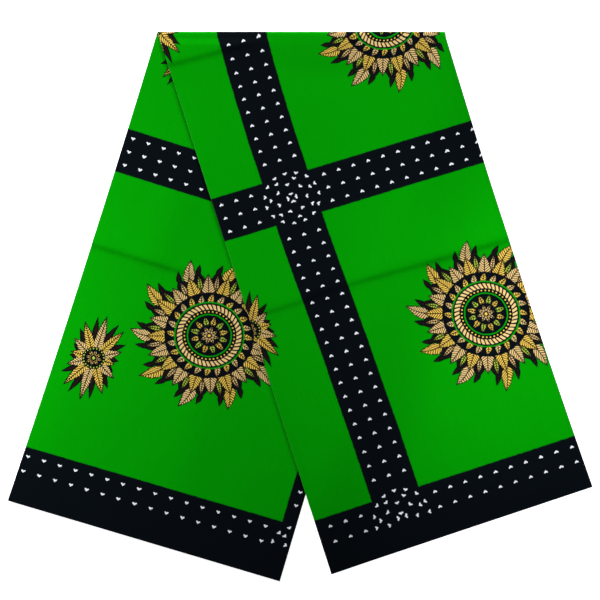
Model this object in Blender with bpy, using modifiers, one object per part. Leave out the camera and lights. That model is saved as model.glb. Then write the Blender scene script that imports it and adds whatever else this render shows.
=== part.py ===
"""A folded length of cotton wax print, laid flat.

Six yards of cloth, 46 inches wide, are folded to and fro into 18 panels of 12 inches, so that
the strip runs from selvedge to selvedge. The strip is then turned back over itself near its
middle. Seen from above, the over leg leans to the right and lies on the under leg, which leans
to the left, and the turn between them is the straight edge at the top.

Metres, +Z up, +X to the right and +Y towards the turn. The origin is under the middle of the
cloth, on the surface that it lies on.
"""

from collections import namedtuple
from math import cos, pi, radians, sin

import bmesh
import bpy
from mathutils import Vector

MM = 0.001

# The stack: 18 layers of starched cotton.
STACK = 6.0 * MM
FACE_WALL = 1.0 * MM
SEAM_GAP = 0.3 * MM
HIDDEN_STACK = STACK - FACE_WALL - SEAM_GAP

# The turn: a half round whose outer sheet goes from under the under leg to the over leg's face.
TURN_RADIUS = STACK + SEAM_GAP / 2
TURN_STEPS = 12
TURN_LENGTH = 316.4 * MM

# The sides of the legs, from the corner of the turn down to the selvedge. Lean is in degrees
# from -Y towards +X, and bow is how far the middle of the side is drawn in towards the leg.
Side = namedtuple("Side", "length lean bow")
OVER_LEFT = Side(629.6 * MM, 17.79, 0.0)
OVER_RIGHT = Side(529.4 * MM, 18.12, 2.9 * MM)
UNDER_LEFT = Side(544.1 * MM, -17.72, 2.3 * MM)
UNDER_RIGHT = Side(634.1 * MM, -16.62, 0.0)

# The hidden layers, in pairs that share a fold, from the innermost pair of the turn to the
# outermost one. Each row says how far the pair stops short of the panel that shows: at the
# left side of a leg, at its right side and at its selvedge end.
Fold = namedtuple("Fold", "left right end")
HIDDEN_FOLDS = (
    Fold(left=0.3 * MM, right=0.8 * MM, end=0.5 * MM),
    Fold(left=0.8 * MM, right=0.2 * MM, end=1.1 * MM),
    Fold(left=0.5 * MM, right=0.6 * MM, end=0.7 * MM),
    Fold(left=0.9 * MM, right=0.1 * MM, end=1.4 * MM),
    Fold(left=0.2 * MM, right=0.9 * MM, end=0.9 * MM),
    Fold(left=0.7 * MM, right=0.4 * MM, end=0.4 * MM),
    Fold(left=0.4 * MM, right=0.7 * MM, end=1.2 * MM),
    Fold(left=0.9 * MM, right=0.3 * MM, end=0.8 * MM),
)
GROOVE_DEPTH = 0.5 * MM
SHOULDER = 0.22  # of a pair's thickness, from its groove to its full reach

# The over leg comes down beside the under leg: it leaves the under leg's right side, and lies
# on the surface after this run. Each entry is a place along the run where the mesh has a line.
STEP_LEDGE = 5.0 * MM
STEP_RUN = 45.0 * MM
STEP_LINES = (0.0, 0.15, 0.32, 0.5, 0.68, 0.85, 1.0)
LEAST_COLUMN = 1.8 * MM

# Old creases from an earlier folding in quarters, by how far their ends are from the corners of
# the turn: down the left side, and down the right side or, for the middle one, along the turn.
Crease = namedtuple("Crease", "start end")
QUARTER_ON_OVER_LEG = Crease(325.8 * MM, 240.2 * MM)
QUARTER_ON_UNDER_LEG = Crease(247.8 * MM, 340.6 * MM)
MIDDLE_CREASE = Crease(39.6 * MM, 156.6 * MM)
CREASE_DEPTH = 0.7 * MM
CREASE_HALF = 7.0 * MM

# Lines across each leg, by how far they are from the corners of the turn along its left and
# right sides, with the number of strips up to the next line.
Line = namedtuple("Line", "left right strips")
BELOW_MIDDLE_CREASE = (56.0 * MM, 40.0 * MM)
UNDER_COLUMNS = 5

COLLECTION_NAME = "folded_wax_print"
GREEN = (0.0, 0.29, 0.004)
DARK_GREEN = (0.0, 0.2, 0.004)
CLOTH_ROUGHNESS = 0.85
SHARP_ANGLE = 30.0


def drop(side):
    """The way down a side, as a unit vector in plan."""
    lean = radians(side.lean)
    return Vector((sin(lean), -cos(lean)))


# The corners of the turn, placed so that the origin is in the middle of the plan.
REACH_RIGHT = OVER_RIGHT.length * drop(OVER_RIGHT).x
REACH_LEFT = UNDER_LEFT.length * drop(UNDER_LEFT).x
REACH_DOWN = UNDER_RIGHT.length * drop(UNDER_RIGHT).y
LEFT_CORNER = Vector((-(TURN_LENGTH + REACH_RIGHT + REACH_LEFT) / 2, -REACH_DOWN / 2))
RIGHT_CORNER = LEFT_CORNER + Vector((TURN_LENGTH, 0.0))
TURN_Y = LEFT_CORNER.y - TURN_RADIUS - SEAM_GAP


def from_corner_to_turn(side):
    """How far down a side the leg begins, where the half round of the turn ends."""
    return (TURN_Y - LEFT_CORNER.y) / drop(side).y


def side_point(corner, side, distance, inward):
    """The point of a side at a distance from its corner, drawn in by the side's bow."""
    share = distance / side.length
    across = Vector((-drop(side).y, drop(side).x)) * inward
    return corner + drop(side) * distance + across * (4 * side.bow * share * (1 - share))


def past_the_step(point):
    """How far a point in plan is to the right of the under leg's right side."""
    down = drop(UNDER_RIGHT)
    return (point - RIGHT_CORNER).dot(Vector((-down.y, down.x))) - STEP_LEDGE


def over_leg_rest(point):
    """The height of what the over leg rests on: the under leg, then a smooth fall, then 0."""
    share = min(max(past_the_step(point) / STEP_RUN, 0.0), 1.0)
    return (STACK + SEAM_GAP) * (1 - share * share * (3 - 2 * share))


def under_leg_rest(point):
    """The under leg lies flat on the surface."""
    return 0.0


def even_columns(left, right):
    """Shares across a leg, evenly spaced."""
    return [i / UNDER_COLUMNS for i in range(UNDER_COLUMNS + 1)]


def step_columns(left, right):
    """Shares across the over leg: up to the step, at each line of it, and past it."""
    width = (right - left).length
    fall = past_the_step(right) - past_the_step(left)
    start = -past_the_step(left) / fall * width
    run = STEP_RUN / fall * width
    wanted = [0.0, start / 2]
    wanted += [start + run * share for share in STEP_LINES]
    wanted += [start + run + (width - start - run) * share for share in (0.5, 1.0)]
    last = len(wanted) - 1
    kept = []
    for i, place in enumerate(wanted):
        kept.append(min(max(place, LEAST_COLUMN * i), width - LEAST_COLUMN * (last - i)) / width)
    kept[0] = 0.0
    kept[-1] = 1.0
    return kept


def crease_across(left, right, crease):
    """The ends in plan of a crease that goes from one side of a leg to the other."""
    start = side_point(LEFT_CORNER, left, crease.start, 1)
    return start, side_point(RIGHT_CORNER, right, crease.end, -1)


def crease_to_the_turn(left, crease):
    """The ends in plan of a crease that goes from a leg's left side to the turn."""
    start = side_point(LEFT_CORNER, left, crease.start, 1)
    return start, LEFT_CORNER + Vector((crease.end, 0.0))


def crease_depth(point, creases):
    """How far the cloth is pressed in at a point: a soft V along each crease."""
    depth = 0.0
    for start, end in creases:
        along = (end - start).normalized()
        aside = abs((point - start).cross(along))
        depth = max(depth, CREASE_DEPTH * (1 - aside / CREASE_HALF))
    return depth


Leg = namedtuple("Leg", "left right lines creases rest columns")


def lines_at(crease, strips_below):
    """A line on each side of a crease and one along it."""
    left, right = crease
    return (
        Line(left - CREASE_HALF, right - CREASE_HALF, 1),
        Line(left, right, 1),
        Line(left + CREASE_HALF, right + CREASE_HALF, strips_below),
    )


def landing_line(strips_below):
    """The line where the over leg's left side leaves the under leg."""
    fall = drop(OVER_LEFT).dot(Vector((-drop(UNDER_RIGHT).y, drop(UNDER_RIGHT).x)))
    landing = -past_the_step(LEFT_CORNER) / fall
    share = (landing - QUARTER_ON_OVER_LEG.start) / (OVER_LEFT.length - QUARTER_ON_OVER_LEG.start)
    opposite = QUARTER_ON_OVER_LEG.end + share * (OVER_RIGHT.length - QUARTER_ON_OVER_LEG.end)
    return Line(landing, opposite, strips_below)


def turn_line(left, right, strips_below):
    return Line(from_corner_to_turn(left), from_corner_to_turn(right), strips_below)


def over_leg():
    """The right-hand leg, which comes down beside the under leg."""
    lines = (
        turn_line(OVER_LEFT, OVER_RIGHT, 8),
        Line(*BELOW_MIDDLE_CREASE, 5),
        *lines_at(QUARTER_ON_OVER_LEG, 4),
        landing_line(3),
        Line(OVER_LEFT.length, OVER_RIGHT.length, 0),
    )
    creases = (
        crease_to_the_turn(OVER_LEFT, MIDDLE_CREASE),
        crease_across(OVER_LEFT, OVER_RIGHT, QUARTER_ON_OVER_LEG),
    )
    return Leg(OVER_LEFT, OVER_RIGHT, lines, creases, over_leg_rest, step_columns)


def under_leg():
    """The left-hand leg, which lies flat on the surface."""
    lines = (
        turn_line(UNDER_LEFT, UNDER_RIGHT, 3),
        *lines_at(QUARTER_ON_UNDER_LEG, 4),
        Line(UNDER_LEFT.length, UNDER_RIGHT.length, 0),
    )
    creases = (crease_across(UNDER_LEFT, UNDER_RIGHT, QUARTER_ON_UNDER_LEG),)
    return Leg(UNDER_LEFT, UNDER_RIGHT, lines, creases, under_leg_rest, even_columns)


Point = namedtuple("Point", "plan rest crease")


def leg_row(leg, left, right):
    """Points across a leg, on the line between two distances down its sides."""
    start = side_point(LEFT_CORNER, leg.left, left, 1)
    end = side_point(RIGHT_CORNER, leg.right, right, -1)
    row = []
    for across in leg.columns(start, end):
        plan = start.lerp(end, across)
        row.append(Point(plan, leg.rest(plan), crease_depth(plan, leg.creases)))
    return row


def leg_grid(leg):
    """Rows of points over a leg, from the turn to the selvedge and from left to right."""
    rows = []
    for line, below in zip(leg.lines, leg.lines[1:]):
        for i in range(line.strips):
            share = i / line.strips
            left = line.left + share * (below.left - line.left)
            right = line.right + share * (below.right - line.right)
            rows.append(leg_row(leg, left, right))
    rows.append(leg_row(leg, leg.lines[-1].left, leg.lines[-1].right))
    return rows


def material(name, colour):
    made = bpy.data.materials.new(name)
    made.use_nodes = True
    shader = made.node_tree.nodes["Principled BSDF"]
    shader.inputs["Base Color"].default_value = (*colour, 1.0)
    shader.inputs["Roughness"].default_value = CLOTH_ROUGHNESS
    shader.inputs["Metallic"].default_value = 0.0
    return made


def add_object(name, bm, colour, collection):
    mesh = bpy.data.meshes.new(name)
    bm.to_mesh(mesh)
    bm.free()
    mesh.shade_smooth()
    mesh.set_sharp_from_angle(angle=radians(SHARP_ANGLE))
    made = bpy.data.objects.new(name, mesh)
    made.data.materials.append(material(name, colour))
    collection.objects.link(made)
    return made


def face_panel(name, leg, collection):
    """The panel that shows on a leg: its top surface, made a wall downwards."""
    bm = bmesh.new()
    rows = []
    for row in leg_grid(leg):
        heights = [point.rest + STACK - point.crease for point in row]
        rows.append([bm.verts.new((*point.plan, z)) for point, z in zip(row, heights)])
    for near, far in zip(rows, rows[1:]):
        for i in range(len(near) - 1):
            bm.faces.new((near[i], far[i], far[i + 1], near[i + 1]))
    made = add_object(name, bm, GREEN, collection)
    wall = made.modifiers.new("wall", "SOLIDIFY")
    wall.thickness = FACE_WALL
    wall.offset = -1.0
    return made


RimRow = namedtuple("RimRow", "height left right end")


def rim_rows(folds):
    """Rows up the edge of the hidden stack: a groove below each pair of layers and its shoulders."""
    pair = HIDDEN_STACK / len(folds)
    rows = []
    for i, fold in enumerate(folds):
        below = folds[max(i - 1, 0)]
        groove = [max(a, b) + GROOVE_DEPTH for a, b in zip(below, fold)]
        rows.append(RimRow(i * pair, *groove))
        rows.append(RimRow((i + SHOULDER) * pair, *fold))
        rows.append(RimRow((i + 1 - SHOULDER) * pair, *fold))
    top = [reach + GROOVE_DEPTH for reach in folds[-1]]
    rows.append(RimRow(HIDDEN_STACK, *top))
    return rows


def hidden_layers(name, leg, folds, collection):
    """The layers below a leg's face: a floor, a layered rim round three sides, and a roof."""
    grid = leg_grid(leg)
    last_row = len(grid) - 1
    last_column = len(grid[0]) - 1
    rim = [(0, i) for i in range(last_column)]
    rim += [(j, last_column) for j in range(last_row)]
    rim += [(last_row, i) for i in range(last_column, 0, -1)]
    rim += [(j, 0) for j in range(last_row, 0, -1)]

    def place(j, i, row):
        """A point at a rim row's height, set in from the panel's edge where it is on the rim."""
        point = grid[j][i]
        plan = point.plan.copy()
        across = (grid[j][-1].plan - grid[j][0].plan).normalized()
        along = (grid[-1][i].plan - grid[-2][i].plan).normalized()
        if i == 0:
            plan += across * row.left
        if i == last_column:
            plan -= across * row.right
        if j == last_row:
            plan -= along * row.end
        height = row.height * (1 - point.crease / HIDDEN_STACK)
        return (*plan, point.rest + height)

    bm = bmesh.new()
    rows = rim_rows(folds)

    def sheet(row, rim_verts):
        """A grid of points at one height, closed with the rim's own points."""
        verts = {}
        for j in range(last_row + 1):
            for i in range(last_column + 1):
                verts[j, i] = rim_verts.get((j, i)) or bm.verts.new(place(j, i, row))
        return verts

    rings = [{key: bm.verts.new(place(*key, row)) for key in rim} for row in rows]
    for low, high in zip(rings, rings[1:]):
        for here, there in zip(rim, rim[1:] + rim[:1]):
            bm.faces.new((low[here], low[there], high[there], high[here]))
    floor = sheet(rows[0], rings[0])
    roof = sheet(rows[-1], rings[-1])
    for j in range(last_row):
        for i in range(last_column):
            corners = ((j, i), (j + 1, i), (j + 1, i + 1), (j, i + 1))
            bm.faces.new([roof[key] for key in corners])
            bm.faces.new([floor[key] for key in reversed(corners)])
    bmesh.ops.recalc_face_normals(bm, faces=bm.faces)
    return add_object(name, bm, DARK_GREEN, collection)


def turn_ends():
    """Where the turn meets the under leg on its left and right, and how far it shifts sideways."""
    under_left = side_point(LEFT_CORNER, UNDER_LEFT, from_corner_to_turn(UNDER_LEFT), 1).x
    under_right = side_point(RIGHT_CORNER, UNDER_RIGHT, from_corner_to_turn(UNDER_RIGHT), -1).x
    over_left = side_point(LEFT_CORNER, OVER_LEFT, from_corner_to_turn(OVER_LEFT), 1).x
    over_right = side_point(RIGHT_CORNER, OVER_RIGHT, from_corner_to_turn(OVER_RIGHT), -1).x
    shift = (over_left - under_left + over_right - under_right) / 2
    return under_left, under_right, shift


def go_round(made, shift):
    """Turns a profile from below the turn's axis, round the outside, to above it."""
    made.location = (0.0, TURN_Y + SEAM_GAP, TURN_RADIUS)
    round_turn = made.modifiers.new("turn", "SCREW")
    round_turn.axis = "X"
    round_turn.angle = pi
    round_turn.screw_offset = shift
    round_turn.steps = TURN_STEPS
    round_turn.render_steps = TURN_STEPS
    round_turn.use_merge_vertices = False
    round_turn.use_normal_flip = True
    round_turn.use_smooth_shade = True


def profile(points, closed):
    """A line of points below the turn's axis, as a mesh of edges."""
    bm = bmesh.new()
    verts = [bm.verts.new((x, 0.0, -radius)) for x, radius in points]
    for here, there in zip(verts, verts[1:]):
        bm.edges.new((here, there))
    if closed:
        bm.edges.new((verts[-1], verts[0]))
    return bm


def turn_face(collection):
    """The outer sheet of the turn: a line turned half round, made a wall inwards."""
    left, right, shift = turn_ends()
    bm = profile([(left, TURN_RADIUS), (right, TURN_RADIUS)], closed=False)
    made = add_object("turn_face", bm, GREEN, collection)
    go_round(made, shift)
    wall = made.modifiers.new("wall", "SOLIDIFY")
    wall.thickness = FACE_WALL
    wall.offset = -1.0
    return made


def turn_layers(collection):
    """The layers inside the turn: their outline turned half round, and closed at both legs."""
    left, right, shift = turn_ends()
    rows = rim_rows(HIDDEN_FOLDS)
    outline = [(left + row.left, SEAM_GAP / 2 + row.height) for row in rows]
    outline += [(right - row.right, SEAM_GAP / 2 + row.height) for row in reversed(rows)]
    turned = add_object("turn_outline", profile(outline, closed=True), DARK_GREEN, collection)
    go_round(turned, shift)
    evaluated = turned.evaluated_get(bpy.context.evaluated_depsgraph_get())
    bm = bmesh.new()
    bm.from_mesh(evaluated.to_mesh())
    evaluated.to_mesh_clear()
    bmesh.ops.holes_fill(bm, edges=[edge for edge in bm.edges if edge.is_boundary], sides=0)
    bmesh.ops.recalc_face_normals(bm, faces=bm.faces)
    made = add_object("turn_layers", bm, DARK_GREEN, collection)
    made.location = turned.location
    bpy.data.objects.remove(turned, do_unlink=True)
    return made


def clear_scene():
    for old in list(bpy.data.objects):
        bpy.data.objects.remove(old, do_unlink=True)


def main():
    clear_scene()
    collection = bpy.data.collections.new(COLLECTION_NAME)
    bpy.context.scene.collection.children.link(collection)
    outer_to_inner = tuple(reversed(HIDDEN_FOLDS))
    face_panel("under_leg_face", under_leg(), collection)
    hidden_layers("under_leg_layers", under_leg(), outer_to_inner, collection)
    turn_face(collection)
    turn_layers(collection)
    face_panel("over_leg_face", over_leg(), collection)
    hidden_layers("over_leg_layers", over_leg(), HIDDEN_FOLDS, collection)


main()
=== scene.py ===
"""A folded length of cotton wax print, laid flat and turned back over itself.

Three thin sheets stand for the cloth: the top panel, which shows on the over leg and goes round
the outside of the turn; the inner panel, which shows on the under leg and lies inside the turn;
and the sixteen folded layers between them. Metres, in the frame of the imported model.
"""

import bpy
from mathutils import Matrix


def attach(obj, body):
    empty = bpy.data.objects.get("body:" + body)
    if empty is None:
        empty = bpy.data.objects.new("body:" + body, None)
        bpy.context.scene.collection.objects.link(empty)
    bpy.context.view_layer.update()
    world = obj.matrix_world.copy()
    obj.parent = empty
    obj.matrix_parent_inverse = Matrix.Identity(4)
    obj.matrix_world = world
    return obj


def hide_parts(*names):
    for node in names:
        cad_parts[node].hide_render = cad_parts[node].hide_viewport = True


bl_info = {
    "name": "Folded Wax Print",
    "version": (1, 0, 0),
    "blender": (4, 5, 0),
    "location": "View3D > Sidebar > Wax Print",
    "description": "Lays the folded cloth on its packed solids, prints it and lights it",
    "category": "Object",
}

from bisect import bisect
from collections import namedtuple
from math import ceil, cos, exp, pi, radians, sin, tanh

import bmesh
import bpy
from bpy.props import FloatProperty, FloatVectorProperty, PointerProperty
from mathutils import Vector

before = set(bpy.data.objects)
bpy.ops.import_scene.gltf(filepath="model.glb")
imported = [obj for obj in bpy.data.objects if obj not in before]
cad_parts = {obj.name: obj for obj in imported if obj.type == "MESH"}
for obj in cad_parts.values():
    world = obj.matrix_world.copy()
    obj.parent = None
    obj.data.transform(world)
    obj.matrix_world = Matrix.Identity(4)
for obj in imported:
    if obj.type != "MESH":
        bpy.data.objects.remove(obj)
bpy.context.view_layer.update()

MM = 0.001
WHITE = (1.0, 1.0, 1.0, 1.0)
PLACE_SOCKETS = {"Along": 0.0, "Across": 0.0}

# The folded strip, as the solids have it.
LAYERS = 18
STACK = 6.0 * MM
PITCH = STACK / LAYERS
SEAM_GAP = 0.3 * MM
TURN_RADIUS = STACK + SEAM_GAP / 2
TURN_LENGTH = 316.4 * MM
PANEL = 304.8 * MM
CLOTH_WIDTH = 1168.4 * MM
CLOTH_LENGTH = LAYERS * PANEL

# The sides of the legs, from the corner of the turn down to the selvedge. Lean is in degrees
# from -Y towards +X, and bow is how far the middle of the side is drawn in towards the leg.
Side = namedtuple("Side", "length lean bow")
OVER_LEFT = Side(629.6 * MM, 17.79, 0.0)
OVER_RIGHT = Side(529.4 * MM, 18.12, 2.9 * MM)
UNDER_LEFT = Side(544.1 * MM, -17.72, 2.3 * MM)
UNDER_RIGHT = Side(634.1 * MM, -16.62, 0.0)
LEFT_SCALE = CLOTH_WIDTH / (OVER_LEFT.length + UNDER_LEFT.length)
RIGHT_SCALE = CLOTH_WIDTH / (OVER_RIGHT.length + UNDER_RIGHT.length)

# Where the over leg comes down beside the under leg.
STEP_LEDGE = 5.0 * MM
STEP_RUN = 100.0 * MM

# How far the folds between the panels stop short of the panel that shows, from the outside of
# the turn inwards, and how far the selvedges of the hidden panels do.
RIGHT_FOLDS = (0.6, 0.2, 0.9, 0.4, 0.1, 0.8, 0.3)
LEFT_FOLDS = (0.8, 0.4, 0.2, 0.9, 0.5, 0.3, 0.7, 0.1)
SELVEDGES = (0.9, 0.4, 1.2, 0.7, 1.4, 0.5, 1.0, 0.3, 0.8, 1.3, 0.6, 1.1, 0.4, 0.9, 0.7, 1.2)
TUCK = 12.0 * MM

# Old creases of an earlier folding. Their ends are given by how far they are from the corners of
# the turn, down the left side and down the right side, or along the turn for the middle one.
QUARTER_CREASES = {"over": (326.5 * MM, 240.9 * MM), "under": (246.3 * MM, 338.8 * MM)}
MIDDLE_CREASE = (39.6 * MM, 156.6 * MM)

# A crease's fall varies along it round a mean, by the share and length of two waves. Its rise has
# a sharp part and a long foot. A weak left end grows to the full fall over a share of the way.
FALL_MEAN = 0.88
LONG_WAVE, SHORT_WAVE = (0.12, 31 * MM), (0.1, 11 * MM)
SHARP_PART, FOOT_PART = 0.28, 0.22
WEAK_UNTIL, WEAK_RUN = 0.2, 0.35
JOG_FROM, JOG_RUN = 48 * MM, 50 * MM

# How soon the swells and the creases die away at the turn, and creases under the over leg.
SWELL_FADE = 14 * MM
CREASE_FADE = 9 * MM
COVER_FADE = 25 * MM

# How far from the creases the rows are close together, and how much less so at the middle one.
QUARTER_REACH = 15 * MM
MIDDLE_REACH = 9 * MM
MIDDLE_STEP = 1.2

# The turn: its rows, how far its outer layers are pressed flat, and how much of its height counts
# in the way of the print round it.
TURN_ROWS = 12
TURN_PRESSED = 0.66
TURN_HEIGHT_COUNTS = 0.45

# The hidden layers: how much wider they follow a crease, how far they sink below it and how far
# from a fold and from the turn that takes, their lines as shares of the way across, and the share
# and the gap at which the tucks of the panels that show take their place. Then the lines of a fold.
HIDDEN_WIDENING = 2.2
HIDDEN_SINK = 1.6 * MM
SINK_FROM_FOLD, SINK_FROM_TURN = 22 * MM, 30 * MM
HIDDEN_SHARES = (0.03, 0.08, 0.18, 0.3, 0.42, 0.58, 0.7, 0.82, 0.92, 0.97)
TUCK_FROM = 0.93
TUCK_GAP = 1 * MM
FOLD_LINES = 4

# Soft swells and hollows of each leg, in millimetres: the middle in plan, the reach along and
# across, the turn from +X in degrees and the height.
Swell = namedtuple("Swell", "x y along across turn height")
SWELLS = {"over": (
    Swell(142, -104, 150, 22, -72, -0.6),
    Swell(215, 62, 90, 34, 16, 0.8),
    Swell(24, 256, 46, 17, -6, -0.8),
    Swell(130, 210, 80, 30, 12, 0.5),
    Swell(-20, 130, 120, 26, -71, 0.5),
    Swell(30, -150, 120, 22, -74, 0.6),
    Swell(235, -130, 110, 26, -70, 0.6),
    Swell(90, 120, 60, 26, 14, -0.4),
    Swell(-22, -170, 110, 14, -72, 1.5),
), "under": (
    Swell(-148, 92, 90, 24, 68, 0.9),
    Swell(-122, -150, 110, 28, 76, 0.8),
    Swell(-255, -85, 120, 28, 70, 0.6),
    Swell(-190, 20, 80, 30, 40, -0.5),
    Swell(-215, -190, 90, 24, 60, -0.4),
)}

# How the print lies on the two panels that show: at a distance along the panel, where the print
# is, where its lengthwise band is across the panel, its stretch and the slant of its weft. All
# are in millimetres, because the cloth was folded a little off its grain.
Grain = namedtuple("Grain", "at cloth band stretch slant")
OVER_GRAIN = [Grain(*row) for row in (
    (546.2, 543.0, 88.8, 0.995, 0.026),
    (579.9, 576.4, 88.6, 0.995, 0.032),
    (595.7, 591.7, 88.0, 0.995, 0.040),
    (611.6, 607.4, 87.2, 0.995, 0.029),
    (626.8, 623.0, 86.9, 0.995, 0.012),
    (641.6, 638.9, 86.6, 0.995, 0.010),
    (672.2, 670.3, 86.2, 0.995, 0.018),
    (687.2, 685.8, 86.1, 0.996, 0.016),
    (702.1, 701.7, 86.1, 0.997, 0.015),
    (717.4, 717.5, 86.5, 0.997, 0.015),
    (761.0, 761.6, 86.9, 1.004, 0.016),
    (803.1, 803.5, 87.4, 1.004, 0.012),
    (848.8, 850.5, 88.9, 1.008, 0.011),
    (877.7, 881.8, 90.2, 1.009, 0.012),
    (939.4, 944.2, 92.3, 1.012, 0.010),
    (972.4, 977.2, 92.8, 1.016, 0.009),
    (1002.9, 1007.2, 93.4, 1.019, 0.009),
    (1036.6, 1039.9, 94.2, 1.02, 0.012),
    (1084.2, 1085.1, 94.6, 1.02, 0.011),
    (1107.0, 1106.9, 94.6, 1.022, 0.006),
    (1135.1, 1134.1, 94.7, 1.02, 0.0045),
    (1168.4, 1168.4, 94.8, 1.02, 0.0),
)]
UNDER_GRAIN = [Grain(*row) for row in (
    (0.0, 0.0, 316.6, 1.0262, 0.0),
    (36.4, 34.3, 316.6, 1.0262, 0.0047),
    (53.3, 51.3, 316.4, 1.0262, 0.0055),
    (63.2, 61.5, 316.4, 1.0262, 0.0055),
    (100.0, 98.9, 316.4, 1.0262, 0.007),
    (237.5, 238.3, 317.8, 1.0265, 0.004),
    (405.4, 406.8, 319.7, 1.0271, -0.006),
    (540.0, 541.0, 319.8, 1.0271, 0.0),
)]
SLANT_FROM = 90.0

# The print's own sizes, in millimetres, from the selvedge and from the cut end. Those across the
# cloth are from its middle line, towards either selvedge.
PERIOD = 363.1
FIRST_BAND = 88.0
BANDS_TO_THE_UNDER_LEG = 14
MIDDLE = CLOTH_WIDTH / MM / 2
CROSS_BAND = 177.4
BORDER = 522.5
HALF_LENGTHWISE = 26.9
HALF_CROSS = 24.6
BAND_SOFTNESS = 1.0

# The hearts: half their width, half the height of the round part, and how much their lobes rise.
HEART_HALF_WIDTH = 2.17
HEART_HALF_HEIGHT = 1.27
HEART_LOBES = 1.27

# Rows of three hearts along the bands: the distance between columns and between rows, the first
# row, and how much later the rows past the crossing start.
ALONG_COLUMNS = 17.4
ALONG_ROWS = 15.656
FIRST_ROW = 7.83
PAST_CROSSING = 7.95

# Rows across, in the cross bands and the borders: the same, the first column's distance from a
# lengthwise band's middle on the left and how much nearer it is on the right, and the last row.
ACROSS_COLUMNS = 17.32
CROSS_ROWS = 15.25
BORDER_ROWS = 17.0
FIRST_COLUMN = 43.0
RIGHT_COLUMN_NEARER = 0.8
FIRST_BORDER_ROW = 532.9
BORDER_ROWS_END = 558.0

# Rings of hearts where the bands cross: how far from the middle a ring begins, its radius, its
# count and its turn in degrees. Then how far a crossing reaches and where a border's begins, how
# far out a border's rings are and the last heart that shows in them, how far aside all the rings
# lie and their stretch, and how the far border's rings differ.
HeartRing = namedtuple("HeartRing", "begins radius count turn")
HEART_RINGS = (
    HeartRing(0.0, 4.2, 4, 0.0),
    HeartRing(9.5, 15.7, 7, -1.9),
    HeartRing(19.2, 22.6, 7, 21.6),
    HeartRing(25.8, 28.9, 15, 0.7),
)
CROSSING_ALONG = 36.0
CROSSING_ACROSS = 35.0
BORDER_CROSSING = 509.0
BORDER_RINGS = 549.9
LAST_BORDER_HEART = 4.0
RINGS_ASIDE = 0.3
RINGS_STRETCH_ALONG = 1.04
RINGS_STRETCH_ACROSS = 1.05
FAR_RINGS_ASIDE = 0.6
FAR_RINGS_NEARER = 1.5
FAR_RINGS_STRETCH = 0.07

# The medallions and the smaller oval flowers: their middles along and across the cloth, how far
# apart they are across it, and the medallion's rope of slanting strands.
MEDALLION = (160.0, 239.0)
FLOWER = (270.0, 178.0)
MOTIF_PITCH = 356.5
ROPE_RADIUS = 31.8
ROPE_HALF_WIDTH = 2.7
ROPE_STRANDS = 44.0
ROPE_SLOPE = 0.11
ROPE_GAP = 0.38
INKS = ("ground", "band", "gold", "sand", "brown", "lime")

# The leaves: the width of the outline and of half the midrib, the slope, share and distance of
# the side veins, the teeth, how uneven the leaves are and from one to the next, how soon they
# bend, and the most that the rule of their form gives, where they are widest.
OUTLINE = 1.25
MIDRIB = 0.55
VEIN_SLOPE = 0.8
VEIN_SHARE = 0.4
VEIN_GAP = 2.7
TOOTH = 3.4
UNEVEN_LENGTH = 0.07
UNEVEN_STEP = 2.4
BEND_SHARE = 0.25
PROFILE_TOP = 1.089

# The cottons and their roughness, the selvedge's ribs, and where and how far the cloth is paler
# along its fold edges and selvedges, partly as wear and partly as painted highlight.
COTTONS = {"wax_print_face": 0.85, "wax_print_layers": 0.9}
RIB_PITCH = 0.9
RIB_HEIGHT = 0.6
SELVEDGE_WIDTH = 4.0
WEAR_AND_HIGHLIGHT = 0.025
FOLD_WEAR_AND_HIGHLIGHT = 0.7
SELVEDGE_WEAR_AND_HIGHLIGHT = 0.5
SELVEDGE_WEAR_AND_HIGHLIGHT_SHARE = 0.6

# Each soft box has its place, the point of the floor that it aims at, and the angle that its grid
# leaves. The camera looks straight down on its place, and its seen width is that at a height.
SOFT_BOXES = {
    "left": ((-0.77, 0.26, 0.44), (-0.49, -0.09), 2.0),
    "right": ((0.3, -0.24, 0.5), (0.29, 0.0), 0.73),
    "top": ((-0.28, 1.52, 0.61), (0.5, -0.02), 1.87),
}
CAMERA_PLACE = Vector((-0.0001, 0.0074, 0.0))
SEEN_HEIGHT = 8 * MM


def length_property(label, text, value, least=1 * MM, **limits):
    return FloatProperty(
        name=label, description=text, default=value, min=least, precision=5, unit="LENGTH",
        **limits,
    )


def power_property(label, text, value):
    return FloatProperty(name=label, description=text, default=value, min=0.0, unit="POWER")


def colour_property(label, text, value):
    return FloatVectorProperty(
        name=label, description=text, default=value, size=3, min=0.0, max=1.0, subtype="COLOR",
    )


class ClothSizes(bpy.types.PropertyGroup):
    """Sizes of the sheets."""

    thickness: length_property(
        "Thickness", "Thickness of the cotton", 0.2 * MM, 0.1 * MM, max=0.3 * MM)
    row_step: length_property(
        "Row Step", "Most that two rows across the strip are apart", 9.0 * MM)
    crease_step: length_property(
        "Crease Step", "Most that two rows are apart along a crease", 1.9 * MM)
    column_step: length_property(
        "Column Step", "Distance between columns of the panels that show", 3.7 * MM)
    crease_width: length_property(
        "Crease Width", "Half the width of the fall at an old crease", 2.4 * MM, max=6 * MM)
    softness: FloatProperty(
        name="Softness", description="How far the swells and hollows of the cloth show",
        default=1.0, min=0.0, max=2.0, subtype="FACTOR",
    )


class PrintColours(bpy.types.PropertyGroup):
    """Dyes of the wax print."""

    ground: colour_property("Ground", "Green ground", (0.0, 0.3, 0.0))
    band: colour_property("Band", "Blue-black of the bands and outlines", (0.0018, 0.0035, 0.0056))
    heart: colour_property("Heart", "White of the hearts", (0.81, 0.85, 0.91))
    gold: colour_property("Gold", "Warm yellow of the petals", (0.8, 0.55, 0.09))
    sand: colour_property("Sand", "Pale brown of the leaves", (0.77, 0.55, 0.23))
    brown: colour_property("Brown", "Dark brown of the veins", (0.018, 0.008, 0.004))
    lime: colour_property("Lime", "Yellow-green of the small leaves", (0.42, 0.6, 0.06))


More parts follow.
